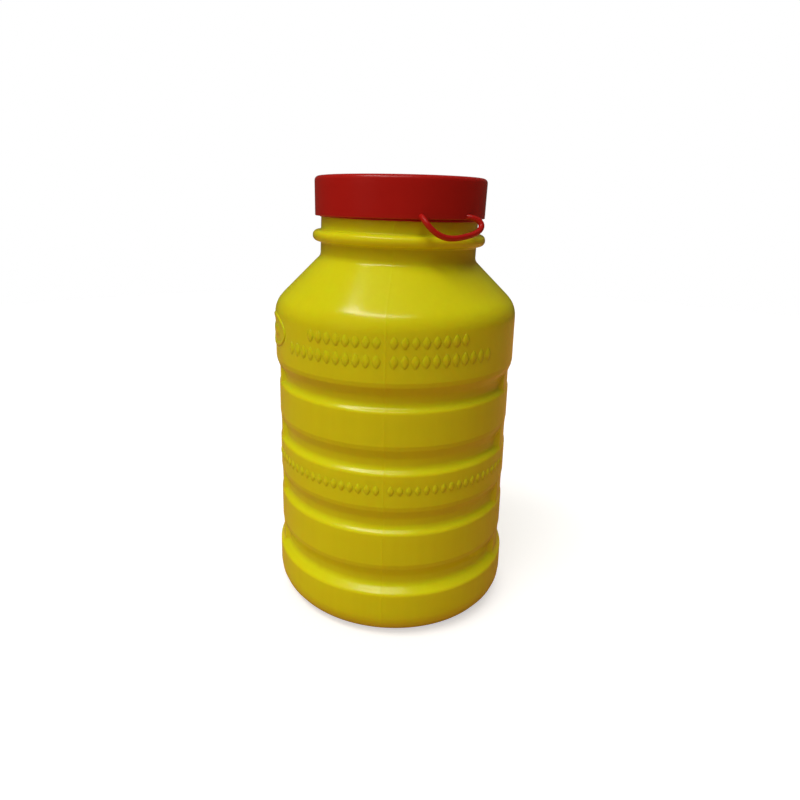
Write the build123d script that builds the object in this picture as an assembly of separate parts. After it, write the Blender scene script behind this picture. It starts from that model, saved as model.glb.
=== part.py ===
from build123d import *
import os
from math import cos, radians, sin, sqrt, tan

# One litre wide-mouth sharps jar with a push-on closure. Millimetres, +Z up, the jar's foot on z = 0,
# the origin on the axis of its body. The two halves of the blow mould met at x = 0, front and back.

# Body of the jar
band_r = 47.0                 # plain bands and the two side lands
base_step = 1.2               # how much prouder the lowest band is
shoulder_step = 1.4           # and the top band under the shoulder
body_wall = 1.3
base_wall = 1.6
foot_corner_r = 9.0           # rounding between foot and side
foot_width = 3.7              # flat ring that the jar stands on
push_up_run = 6.5             # from that ring in to the edge of the raised middle
push_up_rise = 4.0
push_up_edge_drop = 0.8       # how much lower the push-up is at its edge than in the middle
push_up_edge_round = 12.0
foot_inner_round = 1.5

# Grooves between the bands, each named by its crease, the sharp lower edge of the band above it
lowest_crease_z = 30.3
groove_pitch = 23.4
groove_count = 4              # the top one lies under the shoulder band
groove_depth = 2.2
groove_wall_run = 0.95        # drop of the steep upper wall for each millimetre of its depth
groove_floor_drop = 5.6       # from the crease down to the lower end of the floor
groove_slope_drop = 11.1      # from the crease down to the full band again
crease_round = 0.5
floor_top_round = 1.4
floor_bottom_round = 7.5
band_top_round = 10.0

# Lands: two plain upright strips at the sides, where the grooves stop
land_recess = 0.3             # how far they lie below the bands
land_half_angle = 21.5
land_end_run = 3.0            # length over which a groove's end rises to the land
land_end_reach = 1.5          # how far that slope runs on below the groove's floor, as a share of its depth
land_end_round = 2.6
land_depth = 12.0

# Shoulder and neck
shoulder_round = 10.0
shoulder_rise = 20.8          # top crease up to where band and cone would meet
cone_start_drop = 3.9         # how far in from the band the cone proper begins
neck_r = 30.7
neck_wall = 2.1
neck_root_round = 3.0
neck_root_run = 2.0           # part of the cone that belongs to the neck
neck_shift = 0.9              # the blown neck stands a little to one side of the body
neck_lean = 1.5               # degrees, towards +X
bead_reach = 3.2              # how far the ring round the neck stands out
bead_height = 4.4
bead_z = 7.8                  # middle of the ring above the neck's root
bead_nose_round = 2.1
bead_root_round = 0.8
finish_step = 0.8             # how far the top of the neck, which carries the collar, is turned in
finish_z = 15.0               # its ledge above the neck's root
finish_round = 0.3
lip_z = 22.0                  # top of the neck above its root
lip_round = 0.5

# Pinch-off: the welded ridge that the mould leaves under the base
pinch_width = 1.2
pinch_length = 54.0
pinch_height = 0.7

# Collar: pressed over the top of the neck for good
seat_gap = 0.05               # collar to neck, all round
collar_wall = 1.25
collar_drop = 6.6             # how far its skirt reaches down from the lip
collar_deck = 1.2
collar_top_round = 0.9
collar_foot_round = 0.25
deck_width = 13.6             # from the bore of the neck in to the aperture
aperture_rim_wall = 1.5
aperture_rim_height = 0.8
rim_round = 0.4
rim_root_round = 0.3
slot_width = 3.6              # needle slot, at the aperture
slot_tip_width = 1.8
slot_margin = 5.1             # from the tip of the slot out to the bore of the neck
slot_angles = (90.0, 270.0)

# Cover: pushed over the collar, not yet pressed home
cover_gap = 0.8               # cover to collar, all round
cover_wall = 1.1
cover_draft = 0.3             # the skirt is wider at the top by this much
cover_top_wall = 1.4
cover_height = 15.3
cover_lift = 0.2              # its lower edge above the collar's, on the axis
cover_edge_round = 1.7
cover_inner_round = 1.0
cover_foot_round = 0.35
snap_rib = 0.35               # rib inside the skirt that would catch under the collar
snap_rib_height = 1.6
snap_rib_z = 1.8              # middle of the rib above the skirt's lower edge
rib_round = 0.3
panel_margin = 6.1            # from the shallow panel in the top out to the side
panel_drop = 0.5
panel_round = 0.3
gate_r = 1.1                  # stub left by the moulding gate
gate_height = 0.35

# Pull loop: a bar moulded on the lower edge of the cover. Its middle line as angle from the front
# (degrees towards +X), distance from the cover's side, and height above the skirt's lower edge.
loop_bar_r = 1.05
loop_route = (
    (16.0, -0.55, 0.7),
    (16.2, 2.1, 0.5),
    (18.6, 3.7, -2.2),
    (23.4, 4.4, -5.0),
    (30.2, 4.7, -6.4),
    (38.4, 4.7, -5.8),
    (47.6, 4.6, -4.8),
    (54.2, 4.4, -3.1),
    (55.8, 3.7, -1.0),
    (53.0, 2.3, 0.5),
    (49.8, -0.55, 0.7),
)
loop_bend_share = 0.45        # share of its shorter run that each bend of the loop takes

# Share of a straight run that the roundings at its two ends may take, and how far a form that cuts or
# fills runs past the face that it ends at
rounding_share = 0.98
overrun = 1.0

# Sizes that follow from the ones above
base_band_r = band_r + base_step
shoulder_band_r = band_r + shoulder_step
foot_inner_r = base_band_r - foot_corner_r - foot_width
push_up_r = foot_inner_r - push_up_run
creases = [lowest_crease_z + groove_pitch * i for i in range(groove_count)]
floor_r = band_r - groove_depth
shoulder_corner_z = creases[-1] + shoulder_rise
cone_start_r = shoulder_band_r - cone_start_drop
cone_start_z = shoulder_corner_z + cone_start_drop
neck_bore_r = neck_r - neck_wall
neck_root_r = neck_r + neck_root_run
neck_root_z = cone_start_z + cone_start_r - neck_root_r + neck_root_run
neck_place = Pos(neck_shift, 0, neck_root_z) * Rot(0, neck_lean, 0)
bead_r = neck_r + bead_reach
finish_r = neck_r - finish_step
aperture_r = neck_bore_r - deck_width
slot_reach = neck_bore_r - slot_margin
collar_bore_r = finish_r + seat_gap
collar_r = collar_bore_r + collar_wall
collar_bottom_z = lip_z - collar_drop
cover_bore_r = collar_r + cover_gap
cover_r = cover_bore_r + cover_wall
cover_bottom_z = neck_root_z + collar_bottom_z + cover_lift
cover_axis_x = neck_shift + sin(radians(neck_lean)) * (lip_z + collar_bottom_z) / 2
panel_r = cover_r - panel_margin


def rounded_line(points, roundings):
    """Straight runs joined by tangent arcs, one rounding for each inner point, limited by its runs."""
    places = [Vector(*point) for point in points]
    runs = [(after - before).length for before, after in zip(places, places[1:])]
    half_angles = [
        radians((before - corner).get_angle(after - corner)) / 2
        for before, corner, after in zip(places, places[1:], places[2:])
    ]
    reaches = [rounding / tan(half) for rounding, half in zip(roundings, half_angles)]
    for i in range(1, len(reaches)):
        share = rounding_share * runs[i] / max(reaches[i - 1] + reaches[i], runs[i] / 1000)
        reaches[i - 1] *= min(1, share)
        reaches[i] *= min(1, share)

    edges = []
    start = places[0]
    for corner, before, after, reach, half in zip(places[1:], places, places[2:], reaches, half_angles):
        back = (before - corner).normalized()
        ahead = (after - corner).normalized()
        edges.append(Line(start, corner + back * reach).edge())
        start = corner + ahead * reach
        if reach:
            crown = (back + ahead).normalized() * reach * (1 / cos(half) - tan(half))
            edges.append(ThreePointArc(corner + back * reach, corner + crown, start).edge())
    edges.append(Line(start, places[-1]).edge())
    return edges


def turned(points):
    """Solid turned about Z: points are (r, z, rounding), the first and the last of them on the axis."""
    edges = rounded_line([(r, z) for r, z, _ in points], [rounding for _, _, rounding in points[1:-1]])
    edges.append(Line(points[-1][:2], points[0][:2]).edge())
    return revolve(Plane.XZ * make_face(edges), Axis.Z)


def groove_points(crease, upper_r, lower_r, inset):
    """One groove from the band below it up to the crease, for a surface that lies inset below the skin."""
    depth = upper_r - floor_r
    return [
        (lower_r - inset, crease - groove_slope_drop, band_top_round - inset),
        (floor_r - inset, crease - groove_floor_drop, floor_bottom_round + inset),
        (floor_r - inset, crease - depth * groove_wall_run, floor_top_round),
        (upper_r - inset, crease, crease_round),
    ]


def body_form(inset, base_inset):
    """Foot, bands, grooves and the rounded shoulder, up to where the cone begins."""
    slant = inset * sqrt(2)
    points = [
        (0, push_up_rise + base_inset, 0),
        (push_up_r, push_up_rise - push_up_edge_drop + base_inset, push_up_edge_round),
        (foot_inner_r - base_inset / 2, base_inset, foot_inner_round),
        (base_band_r - inset, base_inset, foot_corner_r - inset),
    ]
    for i, crease in enumerate(creases):
        upper_r = shoulder_band_r if i == groove_count - 1 else band_r
        lower_r = base_band_r if i == 0 else band_r
        points += groove_points(crease, upper_r, lower_r, inset)
    corner_z = shoulder_corner_z - slant + inset
    points += [
        (shoulder_band_r - inset, corner_z, shoulder_round - inset),
        (cone_start_r - slant, cone_start_z, 0),
        (0, cone_start_z, 0),
    ]
    return turned(points)


def land(inset):
    """Upright strip that fills the grooves on the +X side, with its edges eased into them."""
    skin_r = band_r - land_recess - inset
    side_r = skin_r - groove_depth * land_end_reach
    low_r = skin_r - land_depth
    half_angle = land_half_angle - inset / radians(1) / band_r
    side_angle = half_angle + land_end_run * land_end_reach / radians(1) / band_r

    def at(radius, degrees):
        return (radius * cos(radians(degrees)), radius * sin(radians(degrees)))

    outline = ThreePointArc(at(skin_r, -half_angle), (skin_r, 0), at(skin_r, half_angle)).edges()
    outline += Polyline(
        at(skin_r, half_angle),
        at(side_r, side_angle),
        at(low_r, side_angle),
        at(low_r, -side_angle),
        at(side_r, -side_angle),
        at(skin_r, -half_angle),
    ).edges()
    plan = make_face(outline)
    corners = plan.vertices().filter_by(lambda v: abs(sqrt(v.X ** 2 + v.Y ** 2) - skin_r) < 0.01)
    plan = fillet(corners, land_end_round)
    bottom = creases[0] - groove_slope_drop - overrun
    top = creases[-1] + overrun / 2
    return Pos(0, 0, bottom) * extrude(plan, top - bottom)


def cone_form(inset):
    """Cone between the shoulder and the neck, which carries the neck's shift and lean."""
    slant = inset * sqrt(2)
    low = Pos(0, 0, cone_start_z) * Circle(cone_start_r - slant)
    high = neck_place * Pos(0, 0, -neck_root_run) * Circle(neck_root_r - slant)
    return loft([low.face(), high.face()], ruled=True)


def neck_form():
    """Neck with its ring, and the turned-in top that carries the collar."""
    half = bead_height / 2
    points = [
        (0, -neck_root_run, 0),
        (neck_root_r, -neck_root_run, 0),
        (neck_r, 0, neck_root_round),
        (neck_r, bead_z - half, bead_root_round),
        (bead_r, bead_z - half, bead_nose_round),
        (bead_r, bead_z + half, bead_nose_round),
        (neck_r, bead_z + half, bead_root_round),
        (neck_r, finish_z, finish_round),
        (finish_r, finish_z, 0),
        (finish_r, lip_z, lip_round),
        (0, lip_z, 0),
    ]
    return neck_place * turned(points)


def neck_bore():
    """Hollow of the neck, open at the top."""
    slant = body_wall * sqrt(2)
    root_r = neck_root_r - slant
    points = [
        (0, -neck_root_run, 0),
        (root_r, -neck_root_run, 0),
        (neck_bore_r, root_r - neck_bore_r - neck_root_run, neck_root_round + body_wall),
        (neck_bore_r, lip_z + overrun, 0),
        (0, lip_z + overrun, 0),
    ]
    return neck_place * turned(points)


def make_jar():
    """Blow-moulded jar in one piece, walls as thick as the two skins are apart."""
    skin = body_form(0, 0) + land(0) + mirror(land(0), Plane.YZ) + cone_form(0) + neck_form()
    inner_land = land(body_wall)
    hollow = body_form(body_wall, base_wall) + inner_land + mirror(inner_land, Plane.YZ)
    hollow += cone_form(body_wall)
    hollow += neck_bore()
    ridge = Pos(0, 0, push_up_rise - pinch_height) * Box(
        pinch_width, pinch_length, pinch_height + base_wall / 2, align=(Align.CENTER, Align.CENTER, Align.MIN)
    )
    return skin - hollow + ridge


def needle_slot(angle):
    """Tapered slot that grips a needle's hub, from the aperture outwards."""
    wide = slot_width / 2
    narrow = slot_tip_width / 2
    outline = Polyline(
        (0, -wide), (aperture_r, -wide), (slot_reach, -narrow), (slot_reach, narrow), (aperture_r, wide), (0, wide),
        close=True,
    )
    tip = Pos(slot_reach, 0) * Circle(narrow)
    height = collar_deck + aperture_rim_height + 2 * overrun
    blade = extrude(make_face(outline.edges()) + tip, height)
    return Rot(0, 0, angle) * Pos(0, 0, lip_z - overrun) * blade


def make_collar():
    """Ring with a deck and an aperture, seated on the lip of the jar."""
    deck_z = lip_z + collar_deck
    rim_r = aperture_r + aperture_rim_wall
    rim_z = deck_z + aperture_rim_height
    section = rounded_line(
        (
            (collar_bore_r, collar_bottom_z),
            (collar_r, collar_bottom_z),
            (collar_r, deck_z),
            (rim_r, deck_z),
            (rim_r, rim_z),
            (aperture_r, rim_z),
            (aperture_r, lip_z),
            (collar_bore_r, lip_z),
            (collar_bore_r, collar_bottom_z),
        ),
        (collar_foot_round, collar_top_round, rim_root_round, rim_round, rim_round, 0, 0),
    )
    ring = revolve(Plane.XZ * make_face(section), Axis.Z)
    for angle in slot_angles:
        ring -= needle_slot(angle)
    return neck_place * ring


def loop_point(angle, reach, height):
    """Point of the loop's middle line, in the cover's own frame."""
    radius = cover_r + reach
    return Vector(radius * sin(radians(angle)), -radius * cos(radians(angle)), height)


def make_pull_loop():
    """Round bar bent out from the skirt, down and back, with every bend as wide as its runs allow."""
    route = [loop_point(*entry) for entry in loop_route]
    radii = []
    for before, corner, after in zip(route, route[1:], route[2:]):
        turn = (corner - before).get_angle(after - corner)
        run = min((corner - before).length, (after - corner).length)
        radii.append(loop_bend_share * run / tan(radians(turn / 2)))
    path = Wire(rounded_line(route, radii))
    start = Plane(origin=path @ 0, z_dir=path % 0)
    return sweep(start * Circle(loop_bar_r), path=path)


def make_cover():
    """Shallow cap with its pull loop, one moulding."""
    top_r = cover_r + cover_draft
    rib_low = snap_rib_z - snap_rib_height / 2
    rib_high = snap_rib_z + snap_rib_height / 2
    under_z = cover_height - cover_top_wall
    panel_z = cover_height - panel_drop
    cap = turned(
        (
            (0, under_z, 0),
            (top_r - cover_wall, under_z, cover_inner_round),
            (cover_bore_r, rib_high + snap_rib, 0),
            (cover_bore_r - snap_rib, rib_high, rib_round),
            (cover_bore_r - snap_rib, rib_low, rib_round),
            (cover_bore_r, rib_low - snap_rib, 0),
            (cover_bore_r, 0, 0),
            (cover_r, 0, cover_foot_round),
            (top_r, cover_height, cover_edge_round),
            (panel_r + panel_drop, cover_height, panel_round),
            (panel_r, panel_z, panel_round),
            (0, panel_z, 0),
        )
    )
    gate = Pos(0, 0, panel_z) * Cylinder(
        gate_r, gate_height, align=(Align.CENTER, Align.CENTER, Align.MIN)
    )
    return Pos(cover_axis_x, 0, cover_bottom_z) * (cap + gate + make_pull_loop())


os.makedirs("parts", exist_ok=True)
for node, solid in (("jar", make_jar()), ("collar", make_collar()), ("cover", make_cover())):
    export_step(solid, f"parts/{node}.step")
    box = solid.bounding_box()
    print(node, "solids", len(solid.solids()), "volume", round(solid.volume, 1), "box", box.min, box.max)
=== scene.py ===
# Medical waste container: one-litre jar for used needles, with its collar and its push-on cover.
# Shapes are worked out in millimetres, from the floor under the jar's axis, x to the right, y to
# the back and z up, and go into the meshes in metres.
import math

import bpy
import numpy as np
from mathutils import Matrix


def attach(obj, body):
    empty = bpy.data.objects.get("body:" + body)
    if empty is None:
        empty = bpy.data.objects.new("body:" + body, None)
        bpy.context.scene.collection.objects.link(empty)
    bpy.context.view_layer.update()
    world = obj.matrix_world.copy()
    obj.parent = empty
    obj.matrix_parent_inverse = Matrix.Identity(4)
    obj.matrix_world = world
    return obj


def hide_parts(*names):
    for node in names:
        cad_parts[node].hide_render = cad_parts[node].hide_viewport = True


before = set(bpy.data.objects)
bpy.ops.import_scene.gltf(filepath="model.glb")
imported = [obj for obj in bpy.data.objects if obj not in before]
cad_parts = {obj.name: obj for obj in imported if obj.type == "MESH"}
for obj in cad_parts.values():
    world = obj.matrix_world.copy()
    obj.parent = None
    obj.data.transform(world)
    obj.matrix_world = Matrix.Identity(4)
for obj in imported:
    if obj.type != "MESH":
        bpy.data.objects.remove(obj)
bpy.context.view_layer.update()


# The jar: one piece of yellow polyethylene, blown in a mould of two halves that met at the front
# and the back. It stands on the rim of a pushed-up base. Its four grooves stop at two upright lands
# at the sides, and its neck leans a little to the right.
band_r = 47.0
base_band_r = 48.2
shoulder_band_r = 48.05
body_wall = 1.3
base_wall = 1.6
base_rounding = 9.0
push_up_height, push_up_r, standing_r = 4.0, 29.0, 35.5
shoulder_top, shoulder_rounding = 121.3, 10.0
cone_start = (44.5, 125.2)  # radius and height
creases = 30.3 + 23.4 * np.arange(4)  # heights at which a band begins above its groove
groove_r = 44.8
groove_edge, groove_foot, groove_slope, groove_brow = 10.9, 9.0, 5.2, 1.8  # drops below the crease
land_r = band_r - 0.3
land_half_angle = 21.5
land_low, land_high = 18, 101
land_drop, land_run = 2.2, 3.0  # the land's ends slope by so much for so much along the skin
land_blend, land_sink = 0.35, 0.02
neck_root = (0.9, 139.0)  # sideways place and height
neck_lean = math.radians(1.5)
neck_r, neck_ring_r, lip_r, bore_r = 30.7, 33.9, 29.9, 28.6
ring_low, ring_high, lip_foot, mouth = 5.6, 10.0, 15.0, 22.0  # heights over the neck's root
seam_height = 0.08
seam_width = 0.40
sway_height = 0.03


def rounded_profile(corners, steps):
    """Line through (r, z, rounding) corners. Each inner corner is an arc tangent to its two runs,
    given by steps + 1 points: its middle lies on the corner's bisector, radius / sin(half angle)
    away. Two arcs that would meet on a run both shrink, to leave 2% of the run between them."""
    places = np.array([corner[:2] for corner in corners], float)
    rounding = np.array([corner[2] for corner in corners], float)
    back = places[:-2] - places[1:-1]
    ahead = places[2:] - places[1:-1]
    runs = np.linalg.norm(np.diff(places, axis=0), axis=1)
    back /= runs[:-1, None]
    ahead /= runs[1:, None]
    half = np.arccos(np.clip((back * ahead).sum(1), -1, 1)) / 2
    reach = rounding[1:-1] / np.tan(half)
    for i in range(1, len(reach)):
        share = min(1, 0.98 * runs[i] / max(reach[i - 1] + reach[i], 1e-6))
        reach[i - 1] *= share
        reach[i] *= share
    radius = reach * np.tan(half)
    bisector = back + ahead
    bisector /= np.linalg.norm(bisector, axis=1)[:, None]
    middle = places[1:-1] + bisector * (radius / np.sin(half))[:, None]
    turn = np.linspace(-1, 1, steps + 1)[None, :, None] * (math.pi / 2 - half)[:, None, None]
    side = ahead - back
    side /= np.linalg.norm(side, axis=1)[:, None]
    arcs = middle[:, None] + radius[:, None, None] * (
        -bisector[:, None] * np.cos(turn) + side[:, None] * np.sin(turn)
    )
    rounded = rounding[1:-1] > 0
    line = [places[:1]]
    for arc, corner, curved in zip(arcs, places[1:-1], rounded):
        line.append(arc if curved else corner[None])
    return np.concatenate(line + [places[-1:]])


def split_long_runs(line, longest):
    """The same line with points added on every run that is longer than longest."""
    pieces = []
    for start, end in zip(line, line[1:]):
        count = max(1, math.ceil(np.linalg.norm(end - start) / longest))
        pieces.append(start + (end - start) * (np.arange(count) / count)[:, None])
    return np.concatenate(pieces + [line[-1:]])


def body_corners(inset, base_inset):
    """Corners of the body's skin, or of the hollow that lies inset below it, from the middle of the
    base up: the push-up, the standing rim and the base's edge, then for each groove the top of the
    band below, the groove's foot, its slope, its brow and the crease, and last the shoulder."""
    corners = [
        (0, push_up_height + base_inset, 0),
        (push_up_r, 3.2 + base_inset, 12.0),
        (standing_r - base_inset / 2, base_inset, 1.5),
        (base_band_r - inset, base_inset, base_rounding - inset),
    ]
    uppers = (band_r, band_r, band_r, shoulder_band_r)
    lowers = (base_band_r, band_r, band_r, band_r)
    for crease, upper, lower in zip(creases, uppers, lowers):
        slope_r = groove_r + 0.5 + 0.4 * (upper - band_r)
        corners += [
            (lower - inset, crease - groove_edge - 0.8 * (lower - band_r), 1.6),
            (groove_r - inset, crease - groove_foot, 2.6 + inset),
            (slope_r - inset, crease - groove_slope, 7.0),
            (upper - 0.35 - inset, crease - groove_brow, 2.5),
            (upper - inset, crease, 1.2),
        ]
    slant = inset * math.sqrt(2)
    corners += [
        (shoulder_band_r - inset, shoulder_top - slant + inset, shoulder_rounding - inset),
        (cone_start[0] - slant, cone_start[1], 0),
    ]
    return corners


# The neck's corners, with heights along its own axis: the root, the ring, the foot of the lip, the
# mouth, and back down the bore.
neck_corners = [
    (32.7, -2.0, 0), (neck_r, 0, 3.0),
    (neck_r, ring_low, 0.8), (neck_ring_r, ring_low, 2.1),
    (neck_ring_r, ring_high, 2.1), (neck_r, ring_high, 0.8),
    (neck_r, lip_foot, 0.3), (lip_r, lip_foot, 0.15),
    (lip_r, mouth, 0.5), (bore_r, mouth, 0.5),
    (bore_r, 0.26, 4.3), (30.86, -2.0, 0),
]
skin_line = split_long_runs(rounded_profile(body_corners(0, 0), steps=6), longest=2.6)
neck_line = split_long_runs(rounded_profile(neck_corners, steps=6), longest=2.6)
hollow_line = rounded_profile(body_corners(body_wall, base_wall), steps=2)
hollow_line = split_long_runs(hollow_line, longest=6.0)[::-1]

# The columns of points round the axis, in degrees from the front: closer near the lands' ends, and
# closest at the parting line.
everywhere = np.arange(0, 360, 2.0)
land_ends = np.array([[90], [270]]) + [-land_half_angle, land_half_angle]
near_land = land_ends[..., None] + np.arange(-7, 7.5, 1.0)
seam_steps = np.array([0.15, 0.3, 0.5, 0.8, 1.2])
near_seam = np.array([[0], [180]]) + np.concatenate([-seam_steps[::-1], [0], seam_steps])
angles = np.concatenate([everywhere, near_land.ravel(), near_seam.ravel()]) % 360
angles = np.radians(np.unique(np.round(angles, 3)))
around = np.stack([np.sin(angles), -np.cos(angles), np.zeros_like(angles)], -1)


def with_lands(line, inset):
    """Radius at each point of the line and each column: the larger of the grooved body's and the
    land's, joined softly by half the sum of gap and root(gap^2 + blend^2), where gap is how far the
    land stands out. The lands lie at 90 and 270 degrees and slope away beyond their ends. Where one
    would lie more than 3 mm under the body, the body stays as it is."""
    from_land = np.abs(np.degrees(angles) % 180 - 90)
    beyond = np.radians(from_land - land_half_angle) * band_r
    land = land_r - inset - np.clip(beyond * land_drop / land_run, 0, 12)
    grooved = np.repeat(line[:, :1], len(angles), axis=1)
    gap = land - grooved
    joined = grooved + 0.5 * (gap + np.sqrt(gap ** 2 + land_blend ** 2)) - land_sink
    beside = ((line[:, 1] > land_low) & (line[:, 1] < land_high))[:, None]
    return np.where(beside & (gap > -3), np.maximum(joined, grooved), grooved)


def ridge(radius):
    """Height of the mould's parting line at each column: a bell curve of the distance along the
    skin from the front or the back."""
    away = np.radians((np.degrees(angles) + 90) % 180 - 90) * radius
    return seam_height * np.exp(-((away / seam_width) ** 2))


def sway(x, y, z):
    """The unevenness of a blown wall: the sum of three slow waves, each the sine of a length over
    the skin and a share of the height, along x, along y and aslant, and the first also times a
    cosine of the height. They are 44 to 195 mm long and never fall into step."""
    sideways = np.sin(x / 9.0 + z / 17.0) * np.cos(z / 23.0)
    backwards = np.sin(y / 7.0 - z / 13.0)
    aslant = np.sin((x - y) / 12.0 + z / 31.0)
    return sway_height * (sideways + backwards + aslant)


def body_rows(line, inset, is_skin):
    """The body's line carried round the axis, with the lands. The skin also has the parting line
    and the sway, which fade out over the rounding of the base."""
    radius = with_lands(line, inset)
    height = line[:, 1:]
    if is_skin:
        uneven = ridge(band_r) + sway(radius * around[:, 0], radius * around[:, 1], height)
        radius = radius + np.clip(height / base_rounding, 0, 1) * uneven
    points = radius[..., None] * around
    points[..., 2] = height
    return points


def on_neck(x, y, along):
    """Points given across and along the neck's axis, turned by its lean and set off from its
    root."""
    return np.stack([
        neck_root[0] + x * math.cos(neck_lean) + along * math.sin(neck_lean),
        y,
        neck_root[1] - x * math.sin(neck_lean) + along * math.cos(neck_lean),
    ], -1)


def neck_rows(line):
    """The neck's line carried round its own axis, with the parting line on its outside, which is
    the first 62% of the line."""
    outside = (np.arange(len(line)) < len(line) * 0.62)[:, None]
    radius = line[:, :1] + ridge(neck_r) * outside
    return on_neck(radius * around[:, 0], radius * around[:, 1], line[:, 1:])


def between(low, high, count):
    """Rows on the straight lines from each point of one row to its fellow on the other, ends left
    out."""
    share = (np.arange(1, count + 1) / (count + 1))[:, None, None]
    return low * (1 - share) + high * share


def quads_between(low, high, turned=False):
    """Quads from closed rows of point numbers to the rows above them: a point, its neighbour, and
    the two above these. Where turned, each is the other way round."""
    quads = np.stack([low, np.roll(low, -1, -1), np.roll(high, -1, -1), high], -1).reshape(-1, 4)
    return quads[:, [0, 3, 2, 1]] if turned else quads


def fan(row, pole, turned=False):
    """Triangles from each point of a closed row and its neighbour to one pole. Where turned, each
    is the other way round."""
    triangles = np.stack([row, np.roll(row, -1), np.full(len(row), pole)], -1)
    return triangles[:, [1, 0, 2]] if turned else triangles


def closed_turning(rows):
    """Points and faces of rows that close on themselves round an axis, with a pole added in the
    middle of the first row and of the last. They face outwards while the rows climb the outside."""
    poles = [rows[0].mean(0)[None], rows[-1].mean(0)[None]]
    points = np.concatenate([rows.reshape(-1, 3)] + poles)
    numbers = np.arange(rows[..., 0].size).reshape(rows.shape[:2])
    below, above = fan(numbers[0], numbers.size, turned=True), fan(numbers[-1], numbers.size + 1)
    return points, quads_between(numbers[:-1], numbers[1:]), below, above


def put_mesh(name, points, *faces, smooth=True):
    """A mesh object at the origin from points in millimetres and arrays of faces, each face a row
    of point numbers."""
    mesh = bpy.data.meshes.new(name)
    mesh.from_pydata((points / 1000).tolist(), [], sum((group.tolist() for group in faces), []))
    mesh.validate()
    if smooth:
        mesh.shade_smooth()
    piece = bpy.data.objects.new(name, mesh)
    bpy.context.scene.collection.objects.link(piece)
    return piece


skin = body_rows(skin_line[1:], 0, is_skin=True)
hollow = body_rows(hollow_line[:-1], body_wall, is_skin=False)
neck = neck_rows(neck_line)
cone = between(skin[-1], neck[0], count=6)
inner_cone = between(neck[-1], hollow[0], count=2)
jar = put_mesh("jar_skin", *closed_turning(np.concatenate([skin, cone, neck, inner_cone, hollow])))


class Level:
    """One output of a node tree. Sums, differences, products and quotients of levels add their Math
    nodes."""

    def __init__(self, tree, socket):
        self.tree = tree
        self.socket = socket

    def combine(self, operation, left, right, clamp=False):
        node = self.tree.nodes.new("ShaderNodeMath")
        node.operation = operation
        node.use_clamp = clamp
        for entry, value in zip(node.inputs, (left, right)):
            if isinstance(value, Level):
                self.tree.links.new(value.socket, entry)
            else:
                entry.default_value = value
        return Level(self.tree, node.outputs[0])

    def __add__(self, other):
        return self.combine("ADD", self, other)

    def __radd__(self, other):
        return self.combine("ADD", other, self)

    def __sub__(self, other):
        return self.combine("SUBTRACT", self, other)

    def __rsub__(self, other):
        return self.combine("SUBTRACT", other, self)

    def __mul__(self, other):
        return self.combine("MULTIPLY", self, other)

    def __rmul__(self, other):
        return self.combine("MULTIPLY", other, self)

    def __truediv__(self, other):
        return self.combine("DIVIDE", self, other)

    def __rtruediv__(self, other):
        return self.combine("DIVIDE", other, self)

    def clamped(self):
        """The level kept from 0 to 1."""
        return self.combine("ADD", self, 0.0, clamp=True)


class Finish:
    """The nodes of a material, or of the world, while they are made. make() adds any node: its
    kind, its settings, which are set first, and the values or links of its sockets, by their names,
    or by _ and their numbers where several share a name."""

    def __init__(self, owner):
        owner.use_nodes = True
        self.owner = owner
        self.tree = owner.node_tree
        self.tree.nodes.clear()

    def make(self, kind, settings=None, output=0, **sockets):
        node = self.tree.nodes.new("ShaderNode" + kind)
        for name, value in (settings or {}).items():
            setattr(node, name, value)
        for name, value in sockets.items():
            entry = node.inputs[int(name[1:]) if name[0] == "_" else name.replace("_", " ")]
            if isinstance(value, Level):
                self.tree.links.new(value.socket, entry)
            elif entry.type == "RGBA":
                entry.default_value = (*value, 1)
            else:
                entry.default_value = value
        return Level(self.tree, node.outputs[output]) if len(node.outputs) else None

    def noise(self, place, scale, detail=2.0):
        """A noise pattern from 0 to 1 on the given coordinates, scale in waves for each metre."""
        settings = {"noise_dimensions": "3D"}
        return self.make(
            "TexNoise", settings, Vector=place, Scale=scale, Detail=detail, Roughness=0.5
        )

    def mixed(self, share, first, second):
        """The two colours mixed by share. A Mix node's colours are its inputs 6 and 7, output 2."""
        return self.make("Mix", {"data_type": "RGBA"}, 2, Factor=share, _6=first, _7=second)

    def finish(self, surface, kind="Material"):
        """The material or the world, with the surface led to its output."""
        self.make("Output" + kind, Surface=surface)
        return self.owner


def polyethylene(name, deep, pale, grain):
    """Blown plastic: satin, a little see-through, with clouds 3 cm wide, faint upright streaks from
    the die, and the slight orange peel of the mould."""
    look = Finish(bpy.data.materials.new(name))
    place = look.make("TexCoord", output="Object")
    upright = look.make("Mapping", Vector=place, Scale=(1.0, 1.0, 0.04))
    streak = look.noise(upright, scale=420.0)
    cloud = look.noise(place, scale=34.0, detail=3.0)
    peel = look.noise(place, scale=900.0)
    fine = look.noise(place, scale=3800.0, detail=1.0)
    colour = look.mixed((0.55 * cloud + 0.45 * streak).clamped(), deep, pale)
    roughness = 0.12 + 0.08 * cloud + 0.05 * peel
    height = 0.6 * peel + 0.4 * streak + 0.15 * fine
    bump = look.make("Bump", Strength=grain, Distance=0.0002, Height=height)
    surface = look.make(
        "BsdfPrincipled",
        {"subsurface_method": "RANDOM_WALK"},
        Base_Color=colour,
        Roughness=roughness,
        Normal=bump,
        IOR=1.5,
        Specular_IOR_Level=0.38,
        Subsurface_Weight=0.4,
        Subsurface_Radius=(1.0, 0.45, 0.03),
        Subsurface_Scale=0.003,
    )
    return look.finish(surface)


yellow = polyethylene(
    "yellow_polyethylene", deep=(0.68, 0.63, 0.006), pale=(0.76, 0.73, 0.009), grain=0.22
)
jar.data.materials.append(yellow)
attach(jar, "container")
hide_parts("jar")


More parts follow.
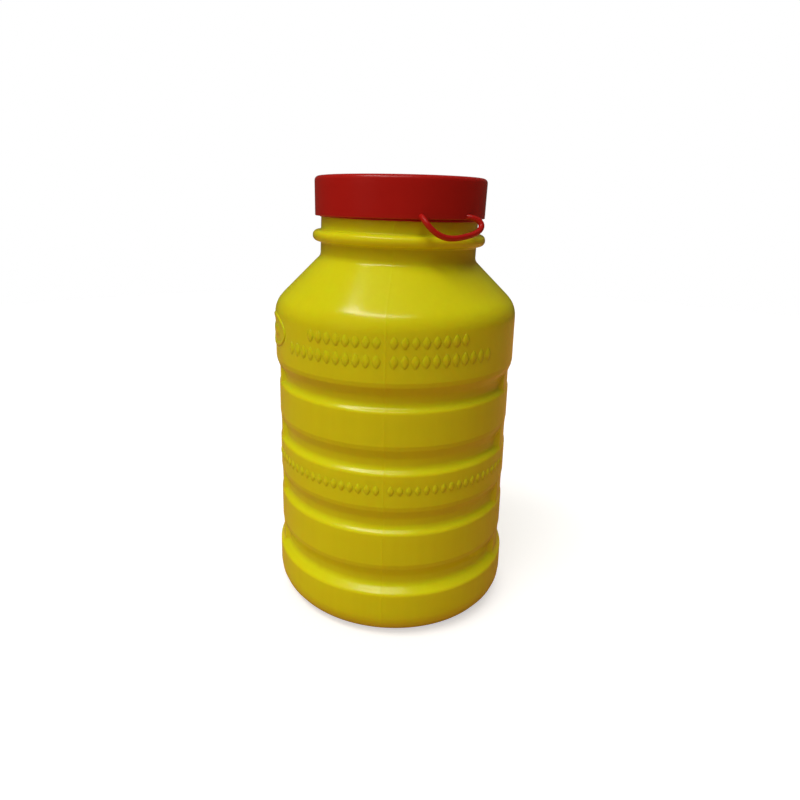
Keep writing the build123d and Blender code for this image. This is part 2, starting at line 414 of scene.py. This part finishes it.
# Rows of plain rounded lozenges, which the mould raises on the jar's own plastic: two on the
# shoulder band and one on the middle band, each broken at the front by the parting line.
lozenge_power = 1.5  # 1 would give straight sides, 2 an ellipse
lens_turn = np.linspace(0, 2 * math.pi, 32, endpoint=False)
lens_rings = np.array([0.18, 0.4, 0.6, 0.76, 0.88, 0.95, 1.0])
lens_root = 0.5


def on_skin(along, up, proud, radius):
    """Points on a round band: along is degrees from the front, up the height, and proud the
    distance off the skin."""
    turned = np.radians(along)
    reach = radius + proud
    return np.stack(np.broadcast_arrays(reach * np.sin(turned), -reach * np.cos(turned), up), -1)


def lozenges(middles, height, half_width, half_height, radius, proud, power):
    """Closed lenses on the skin, all alike. Each ring of a lens is its outline, of the form
    |u / a|^power + |v / b|^power = 1, shrunk by rho and raised by proud (1 - rho^3), less 0.02 mm.
    One more ring, 2% smaller, and a pole close it under the skin."""
    u = np.sign(np.cos(lens_turn)) * np.abs(np.cos(lens_turn)) ** (2 / power)
    v = np.sign(np.sin(lens_turn)) * np.abs(np.sin(lens_turn)) ** (2 / power)
    rho = np.append(lens_rings, 0.98)[:, None]
    lift = np.append(proud * (1 - lens_rings ** 3), -lens_root)[:, None] - 0.02
    along = middles[:, None, None] + np.degrees(half_width / radius) * rho * u
    rings = on_skin(along, height + half_height * rho * v, lift, radius)
    top = on_skin(middles, height, proud, radius)
    low = on_skin(middles, height, -lens_root, radius)
    count, n_rings, n_turn = rings.shape[:3]
    points = np.concatenate([rings.reshape(count, -1, 3), top[:, None], low[:, None]], 1)
    numbers = np.arange(n_rings * n_turn).reshape(n_rings, n_turn)
    quads = quads_between(numbers[:-1], numbers[1:], turned=True)
    above, below = fan(numbers[0], numbers.size), fan(numbers[-1], numbers.size + 1, turned=True)
    starts = np.arange(count)[:, None, None] * (numbers.size + 2)
    fans = starts + np.concatenate([above, below])
    return points.reshape(-1, 3), (starts + quads).reshape(-1, 4), fans.reshape(-1, 3)


def lozenge_row(name, height, reach, pitch, half_width, half_height, radius, proud):
    """A row of lozenges, the same on both sides of the parting line, the first 0.8 pitch from it
    and the last within reach. Reach and pitch are in degrees."""
    spots = np.arange(pitch * 0.8, reach, pitch)
    middles = np.concatenate([-spots[::-1], spots])
    row = put_mesh(
        name, *lozenges(middles, height, half_width, half_height, radius, proud, lozenge_power)
    )
    row.data.materials.append(yellow)
    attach(row, "container")


lozenge_row(
    "upper_shoulder_row", height=114.6, reach=38.5, pitch=4.4,
    half_width=1.5, half_height=2.3, radius=shoulder_band_r, proud=0.34,
)
lozenge_row(
    "lower_shoulder_row", height=108.0, reach=48.6, pitch=4.4,
    half_width=1.5, half_height=2.5, radius=shoulder_band_r, proud=0.34,
)
lozenge_row(
    "middle_band_row", height=60.2, reach=72.0, pitch=4.0,
    half_width=1.3, half_height=2.0, radius=band_r, proud=0.40,
)


# The oval boss: a plain low boss inside a plain oval ring, raised by the mould at the left of the
# shoulder band, of the jar's own plastic.
oval_place = -69.0
oval_height = 112.0


def oval_ring(middle, height, half_width, half_height, bar, radius, proud):
    """Closed oval bead on the skin: a bar of the given width carried round an oval of the half axes
    given. Its section's height is proud times the sine of the turn to the power 0.8, and its flat
    foot lies 0.4 mm under the skin."""
    turn = np.linspace(0, 2 * math.pi, 72, endpoint=False)[:, None]
    section = np.linspace(0, 2 * math.pi, 16, endpoint=False)[None]
    out = bar / 2 * np.cos(section)
    lift = proud * np.abs(np.sin(section)) ** 0.8 * np.sign(np.sin(section))
    along = middle + np.degrees((half_width + out) * np.cos(turn) / radius)
    up = height + (half_height + out) * np.sin(turn)
    points = on_skin(along, up, np.maximum(lift, -0.4), radius)
    numbers = np.arange(points[..., 0].size).reshape(points.shape[:2])
    return points.reshape(-1, 3), quads_between(numbers, np.roll(numbers, -1, 0), turned=True)


ring_points, ring_quads = oval_ring(
    oval_place, oval_height, half_width=12.0, half_height=5.6, bar=1.8,
    radius=shoulder_band_r, proud=0.45,
)
boss_points, boss_quads, boss_fans = lozenges(
    np.array([oval_place]), oval_height, half_width=7.4, half_height=2.6,
    radius=shoulder_band_r, proud=0.5, power=2.2,
)
oval_points = np.concatenate([ring_points, boss_points])
boss_faces = [group + len(ring_points) for group in (boss_quads, boss_fans)]
oval = put_mesh("oval_boss", oval_points, ring_quads, *boss_faces)
oval.data.materials.append(yellow)
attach(oval, "container")


# The collar: a red ring, injection-moulded in polypropylene and pressed over the lip for good, with
# the aperture that the needles go through. Its solid has the finished shape, so it stays and gets
# the moulding's finish.
def polypropylene(name, deep, pale, sheen):
    """Injection-moulded plastic: smooth and a little glossy, with faint flow marks and fine
    rubbing."""
    look = Finish(bpy.data.materials.new(name))
    place = look.make("TexCoord", output="Object")
    flow = look.noise(place, scale=60.0, detail=3.0)
    drawn_out = look.make("Mapping", Vector=place, Scale=(1.0, 1.0, 0.7))
    rubbing = look.noise(drawn_out, scale=900.0, detail=3.0)
    colour = look.mixed((0.75 * flow + 0.25 * rubbing).clamped(), deep, pale)
    roughness = sheen + 0.08 * flow + 0.06 * rubbing
    height = 0.6 * flow + 0.4 * rubbing
    bump = look.make("Bump", Strength=0.05, Distance=0.0002, Height=height)
    surface = look.make(
        "BsdfPrincipled",
        {"subsurface_method": "RANDOM_WALK"},
        Base_Color=colour,
        Roughness=roughness,
        Normal=bump,
        IOR=1.49,
        Specular_IOR_Level=0.4,
        Subsurface_Weight=0.1,
        Subsurface_Radius=(1.0, 0.15, 0.1),
        Subsurface_Scale=0.0015,
    )
    return look.finish(surface)


red = polypropylene(
    "red_polypropylene", deep=(0.41, 0.009, 0.007), pale=(0.49, 0.012, 0.009), sheen=0.17
)
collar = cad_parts["collar"]
collar.data.materials.clear()
collar.data.materials.append(red)


# The collar's hem: the rounded lower edge of the same red moulding, which closes on the neck above
# its ring and shows under the cover. Its corners are radius and height along the neck's axis.
hem_corners = [
    (30.76, 14.98), (30.82, 14.88), (30.95, 14.84), (31.08, 14.88), (31.17, 14.98),
    (31.19, 15.2), (31.19, 15.8), (31.0, 15.9), (30.76, 15.8),
]


def closed_ring(corners, columns):
    """A closed loop of corners carried round the neck's axis."""
    turned = np.linspace(0, 2 * math.pi, columns, endpoint=False)
    reach, along = np.array(corners).T[..., None]
    points = on_neck(reach * np.sin(turned), -reach * np.cos(turned), along)
    numbers = np.arange(points[..., 0].size).reshape(points.shape[:2])
    return points.reshape(-1, 3), quads_between(numbers, np.roll(numbers, -1, 0))


hem = put_mesh("collar_hem", *closed_ring(hem_corners, columns=240))
hem.data.materials.append(red)
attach(hem, "container")


# The cover: a shallow red cap, injection-moulded in polypropylene, pushed over the collar and not
# yet pressed home, so that it stands a little askew. A low rib runs round the inside of its skirt.
cover_place = np.array([1.3857, 0.0, 154.6])
cover_lean = math.radians(0.8)
cover_r, skirt_r = 33.4, 33.1
dish_top, rim_top, ceiling = 14.4, 14.85, 13.5  # heights over the lower edge
skirt_bore_r, rib_r = 32.0, 31.65

# From the middle of the top out to the rim, down the skirt, and back up its bore past the rib.
cover_corners = [
    (0, dish_top, 0), (27.0, dish_top, 0.3), (27.5, rim_top, 0.3), (cover_r, rim_top, 1.7),
    (skirt_r, 0, 0.35), (skirt_bore_r, 0, 0.3),
    (skirt_bore_r, 0.65, 0.1), (rib_r, 1.0, 0.3), (rib_r, 2.6, 0.3), (skirt_bore_r, 2.95, 0.1),
    (32.3, ceiling, 1.0), (0, ceiling, 0),
]
cover_line = split_long_runs(rounded_profile(cover_corners, steps=6), longest=2.5)[::-1]
cover_angles = np.radians(np.arange(0, 360, 1.5))
cover_around = np.stack([np.sin(cover_angles), -np.cos(cover_angles), 0 * cover_angles], -1)


def cover_rows(line):
    """The cap's line carried round its axis, with the waviness of a thin moulded skirt beyond 30
    mm: three waves round it of 0.06 mm and seven of 0.03 mm."""
    wave = 0.06 * np.sin(3 * cover_angles + 0.6) + 0.03 * np.sin(7 * cover_angles)
    points = (line[:, :1] + wave * (line[:, :1] > 30))[..., None] * cover_around
    points[..., 2] = line[:, 1:]
    return points


def sit_askew(points):
    """The points turned about the middle of the cover's lower edge, right side down, and put in
    place."""
    lean = np.array([
        [math.cos(cover_lean), 0, math.sin(cover_lean)],
        [0, 1, 0],
        [-math.sin(cover_lean), 0, math.cos(cover_lean)],
    ])
    return points @ lean.T + cover_place


cap = put_mesh("cover_cap", *closed_turning(sit_askew(cover_rows(cover_line[1:-1]))))
cap.data.materials.append(red)
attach(cap, "closure")
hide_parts("cover")


# The pull loop: a thin round bow of the cover's own moulding, fixed to its lower edge at both ends,
# to pull it off by. Its route is degrees from the front, radius, and height over that edge.
loop_route = np.array([
    (15.8, 31.9, 1.1), (16.1, 33.8, 0.9), (16.6, 35.6, -0.2), (18.6, 36.8, -2.2),
    (23.4, 37.5, -5.0), (30.2, 37.8, -6.4), (38.4, 37.8, -5.8), (47.6, 37.7, -4.8),
    (54.2, 37.5, -3.1), (55.6, 36.8, -1.0), (53.6, 35.4, 0.4), (51.0, 33.8, 0.9),
    (49.6, 31.9, 1.1),
])
loop_half_thickness = 1.05
end_swell = 0.25
end_share = 0.05  # of the loop's length


def smooth_path(points, steps):
    """Uniform cubic B-spline of the points: each point of the line is the mean of four neighbours
    by the four cubic weights. The end points are held, so that it starts and ends there."""
    held = np.concatenate([points[:1], points[:1], points, points[-1:], points[-1:]])
    share = np.linspace(0, 1, steps, endpoint=False)[None, :, None]
    a, b, c, d = (held[i:len(held) - 3 + i, None] for i in range(4))
    line = (
        a * (1 - share) ** 3
        + b * (3 * share ** 3 - 6 * share ** 2 + 4)
        + c * (-3 * share ** 3 + 3 * share ** 2 + 3 * share + 1)
        + d * share ** 3
    ) / 6
    return line.reshape(-1, 3)


def tube(path, radii, columns):
    """Rings of the given radii square to a path, each begun in the level direction across it."""
    run = np.gradient(path, axis=0)
    run /= np.linalg.norm(run, axis=1)[:, None]
    across = np.cross(run, [0, 0, 1.0])
    across /= np.linalg.norm(across, axis=1)[:, None]
    rise = np.cross(across, run)
    turn = np.linspace(0, 2 * math.pi, columns, endpoint=False)[:, None]
    ring = across[:, None] * np.cos(turn) + rise[:, None] * np.sin(turn)
    return path[:, None] + ring * radii[:, None, None]


route_turned = np.radians(loop_route[:, 0])
route_reach = loop_route[:, 1]
route_x, route_y = route_reach * np.sin(route_turned), -route_reach * np.cos(route_turned)
loop_path = smooth_path(sit_askew(np.stack([route_x, route_y, loop_route[:, 2]], -1)), steps=8)
share = np.linspace(0, 1, len(loop_path))
swell = end_swell * (np.exp(-share / end_share) + np.exp((share - 1) / end_share))
loop_rows = tube(loop_path, loop_half_thickness + swell, columns=24)
loop = put_mesh("pull_loop", *closed_turning(loop_rows))
loop.data.materials.append(red)
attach(loop, "closure")


# The floor it is photographed on: a matte round sheet, white to the camera, that keeps the soft
# shadow and fades out before its rim. What it throws back at the jar is warm and dim.
fade_start, fade_length = 0.55, 0.35  # metres from the axis
floor_drop = 0.02


def white_floor():
    """Matte, and for the camera's rays alone a pale matte that its own light brings up to white,
    mixed with clear by the distance from the axis."""
    look = Finish(bpy.data.materials.new("white_floor"))
    seen = look.make("LightPath", output="Is Camera Ray")
    place = look.make("TexCoord", output="Object")
    away = look.make("VectorMath", {"operation": "LENGTH"}, "Value", _0=place)
    fade = ((away - fade_start) / fade_length).clamped()
    matte = look.make("BsdfDiffuse", Color=(0.50, 0.245, 0.08))
    pale = look.make("BsdfDiffuse", Color=(0.62, 0.62, 0.62))
    lift = look.make("Emission", Color=(1.0, 1.0, 1.0), Strength=0.55)
    lit = look.make("AddShader", _0=pale, _1=lift)
    clear = look.make("BsdfTransparent")
    shown = look.make("MixShader", _0=seen, _1=matte, _2=lit)
    return look.finish(look.make("MixShader", _0=fade, _1=shown, _2=clear))


floor_turn = np.linspace(0, 2 * math.pi, 96, endpoint=False)
floor_reach = np.array([30.0, 120.0, 300.0, 900.0])[:, None]
floor_x, floor_y = floor_reach * np.sin(floor_turn), -floor_reach * np.cos(floor_turn)
floor_rows = np.stack([floor_x, floor_y, np.full_like(floor_x, -floor_drop)], -1)
floor_points = np.concatenate([floor_rows.reshape(-1, 3), [[0, 0, -floor_drop]]])
numbers = np.arange(floor_x.size).reshape(floor_x.shape)
floor_quads = quads_between(numbers[:-1], numbers[1:], turned=True)
floor = put_mesh("floor", floor_points, floor_quads, fan(numbers[0], numbers.size), smooth=False)
floor.data.materials.append(white_floor())


# The surround: plain white to the camera's rays, and to all others the faint warm light that a pale
# room throws back.
room = Finish(bpy.data.worlds.new("surround"))
seen = room.make("LightPath", output="Is Camera Ray")
ambient = room.make("Background", Color=(1.0, 0.70, 0.50), Strength=0.07)
white = room.make("Background", Color=(1.0, 1.0, 1.0), Strength=1.0)
shown = room.make("MixShader", _0=seen, _1=ambient, _2=white)
bpy.context.scene.world = room.finish(shown, "World")


# The lights: a long ceiling tube at the left and in front, which draws the highlight lines on the
# plastic, and wide soft lights from the sky, overhead, a low window and behind, which draw none.
def sun(name, azimuth, elevation, strength, colour, width, glossy=False):
    """A far light from azimuth degrees to the right of the front, as many degrees wide in the sky
    as given. Where it is glossy, the plastic mirrors it."""
    lamp = bpy.data.lights.new(name, "SUN")
    lamp.energy = strength
    lamp.color = colour
    lamp.angle = math.radians(width)
    source = bpy.data.objects.new(name, lamp)
    source.rotation_euler = (math.pi / 2 - math.radians(elevation), 0, math.radians(azimuth))
    source.visible_glossy = glossy
    bpy.context.scene.collection.objects.link(source)


daylight = (1.0, 1.0, 0.96)
tube_parts = ((-70, 0.26), (-52, 0.24), (-34, 0.20), (-16, 0.17), (2, 0.11), (20, 0.07))
for azimuth, strength in tube_parts:
    sun("ceiling_tube", azimuth, 61.0, strength, daylight, width=11.0, glossy=True)
sun("sky_glow", -26.0, 60.0, 1.20, daylight, width=50.0)
sun("overhead", 0.0, 84.0, 0.30, (1.0, 0.98, 0.92), width=50.0)
sun("low_window", -45.0, 16.0, 0.39, (1.0, 0.92, 0.80), width=40.0)
sun("behind", 172.0, 32.0, 1.2, (1.0, 0.96, 0.90), width=60.0)


# The camera: close to the jar, at the height of its cover and a little to its right, looking down.
# Its lens shift puts the middle of the view where the photograph has it.
stand_azimuth = math.radians(3.26)
distance, eye_height = 240.1, 159.8
pitch, yaw, roll = math.radians(13.84), math.radians(-2.78), math.radians(0.45)
frame_px = 800
focal_px, middle_x, middle_y = 593.7, 365.4, 349.3
sensor_width = 36.0
forward = np.array([
    math.sin(yaw) * math.cos(pitch), math.cos(yaw) * math.cos(pitch), -math.sin(pitch),
])
level_right = np.array([math.cos(yaw), -math.sin(yaw), 0.0])
level_up = np.cross(level_right, forward)
right = math.cos(roll) * level_right + math.sin(roll) * level_up
up = -math.sin(roll) * level_right + math.cos(roll) * level_up
swing = np.array([
    [math.cos(stand_azimuth), -math.sin(stand_azimuth), 0],
    [math.sin(stand_azimuth), math.cos(stand_azimuth), 0],
    [0, 0, 1],
])
lens = bpy.data.cameras.new("camera")
lens.sensor_width = sensor_width
lens.lens = sensor_width * focal_px / frame_px
lens.shift_x = (frame_px / 2 - middle_x) / frame_px
lens.shift_y = (middle_y - frame_px / 2) / frame_px
lens.clip_start = 0.005
lens.clip_end = 10.0
camera = bpy.data.objects.new("camera", lens)
placed = np.eye(4)
placed[:3, :3] = swing @ np.stack([right, up, -forward], 1)
placed[:3, 3] = swing @ np.array([0, -distance, eye_height]) / 1000
camera.matrix_world = Matrix(placed.tolist())
bpy.context.scene.collection.objects.link(camera)
bpy.context.scene.camera = camera
bpy.context.scene.view_settings.view_transform = "Standard"
